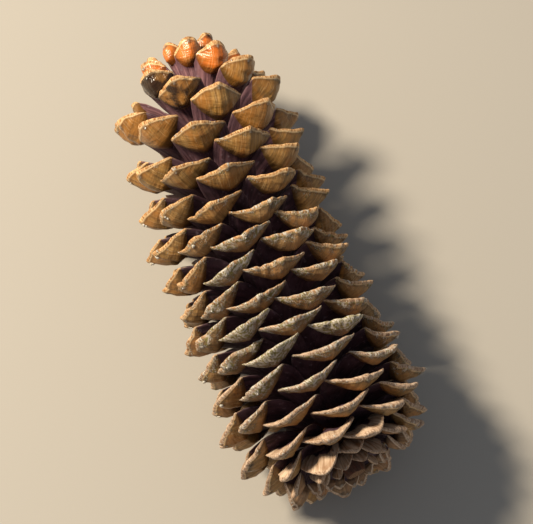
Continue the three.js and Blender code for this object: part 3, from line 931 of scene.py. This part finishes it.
def bead_faces(offset):
    """The faces of one drop whose first point has a number."""
    faces = []
    last = offset + (BEAD_ROWS - 1) * BEAD_SIDES + 1
    for k in range(BEAD_SIDES):
        after = (k + 1) % BEAD_SIDES
        faces.append((offset, offset + 1 + k, offset + 1 + after))
        for row in range(BEAD_ROWS - 2):
            here = offset + 1 + row * BEAD_SIDES
            faces.append((here + k, here + BEAD_SIDES + k, here + BEAD_SIDES + after, here + after))
        here = offset + 1 + (BEAD_ROWS - 2) * BEAD_SIDES
        faces.append((here + k, last, here + after))
    return faces


points, faces = [], []
for number, (centre, out, to_margin) in umbos.items():
    turn_from_flank = (directions(number)[0] - BEADED_FLANK + math.pi) % (2 * math.pi) - math.pi
    on_flank = abs(turn_from_flank) < BEADED_WIDTH and number in BEADED_SCALES and chance(number, 11) > -0.1
    stray = number > STRAY_BEAD_START and chance(number, 11) > 0.93
    if not on_flank and not stray:
        continue
    for drop in range(1 + int(2 * abs(chance(number, 12)))):
        shift = to_margin * 0.5 * drop * chance(number, 13 + drop)
        radius = BEAD_RADIUS * (0.75 + 0.4 * chance(number, 16 + drop)) / (1 + 0.4 * drop)
        faces += bead_faces(len(points))
        points += bead_points(centre + shift + out * BEAD_SINK, out, DOWNHILL, radius, number + drop)
placed = AXIS_START + bowed(np.array(points) * MM)
resin = solid_piece("resin_beads", placed, faces, [dried_resin], [0] * len(faces), {})
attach(resin, "root")

# ---- Floor, light and camera -----------------------------------------
# A plain pale floor under the cone, one large soft light from the left and a little from the tip's side, and
# the camera above the cone, a little on the side of its stalk.

FLOOR_HALF = 3.0
CAMERA_TARGET = Vector(AXIS_START) + Vector((0.15325, -0.01618, -0.00287))
CAMERA_DISTANCE = 1.228
CAMERA_TILT = math.radians(21.4)  # from straight above, towards the stalk
CAMERA_HEADING = math.radians(152.0)  # of the bottom of the view
CAMERA_LENS = 138  # mm
KEY_SIDE = math.radians(-70)  # of the key light, from the view's top towards its left
KEY_HEIGHT = math.radians(50)
KEY_DISTANCE = 2.2
KEY_SIZE = 0.45
KEY_POWER = 92
FILL_STRENGTH = 0.32

floor_mesh = bpy.data.meshes.new("floor")
corners = [(x * FLOOR_HALF, y * FLOOR_HALF, 0) for x, y in ((-1, -1), (1, -1), (1, 1), (-1, 1))]
floor_mesh.from_pydata(corners, [], [(0, 1, 2, 3)])
floor = bpy.data.objects.new("floor", floor_mesh)
bpy.context.scene.collection.objects.link(floor)
floor_paint, tree = new_material("plain_pale_floor")
shader = add(tree, "ShaderNodeBsdfPrincipled", {"Base Color": linear("#a9a49b"), "Roughness": 0.9})
add(tree, "ShaderNodeOutputMaterial", {0: shader})
floor_mesh.materials.append(floor_paint)

world = bpy.data.worlds.new("soft_studio")
world.use_nodes = True
world.node_tree.nodes["Background"].inputs[0].default_value = linear("#dfe5f0")
world.node_tree.nodes["Background"].inputs[1].default_value = FILL_STRENGTH
bpy.context.scene.world = world

view_up = Vector((-math.cos(CAMERA_HEADING), -math.sin(CAMERA_HEADING), 0))
view_right = Vector((view_up.y, -view_up.x, 0))
key_data = bpy.data.lights.new("key", "AREA")
key_data.shape = "DISK"
key_data.size = KEY_SIZE
key_data.energy = KEY_POWER
key_data.color = linear("#fff0d8")[:3]
key = bpy.data.objects.new("key", key_data)
bpy.context.scene.collection.objects.link(key)
level = view_up * math.cos(KEY_SIDE) + view_right * math.sin(KEY_SIDE)
towards_key = level * math.cos(KEY_HEIGHT) + Vector((0, 0, math.sin(KEY_HEIGHT)))
key.location = CAMERA_TARGET + towards_key * KEY_DISTANCE
key.rotation_euler = towards_key.to_track_quat("Z", "Y").to_euler()

camera_data = bpy.data.cameras.new("camera")
camera_data.lens = CAMERA_LENS
camera_data.sensor_width = 36
camera_data.clip_end = 20
camera = bpy.data.objects.new("camera", camera_data)
bpy.context.scene.collection.objects.link(camera)
back = Vector((0, 0, math.cos(CAMERA_TILT))) - view_up * math.sin(CAMERA_TILT)
camera_up = view_up * math.cos(CAMERA_TILT) + Vector((0, 0, math.sin(CAMERA_TILT)))
turned = Matrix((view_right, camera_up, back)).transposed().to_4x4()
camera.matrix_world = Matrix.Translation(CAMERA_TARGET + back * CAMERA_DISTANCE) @ turned
bpy.context.scene.camera = camera
bpy.context.scene.view_settings.view_transform = "Standard"
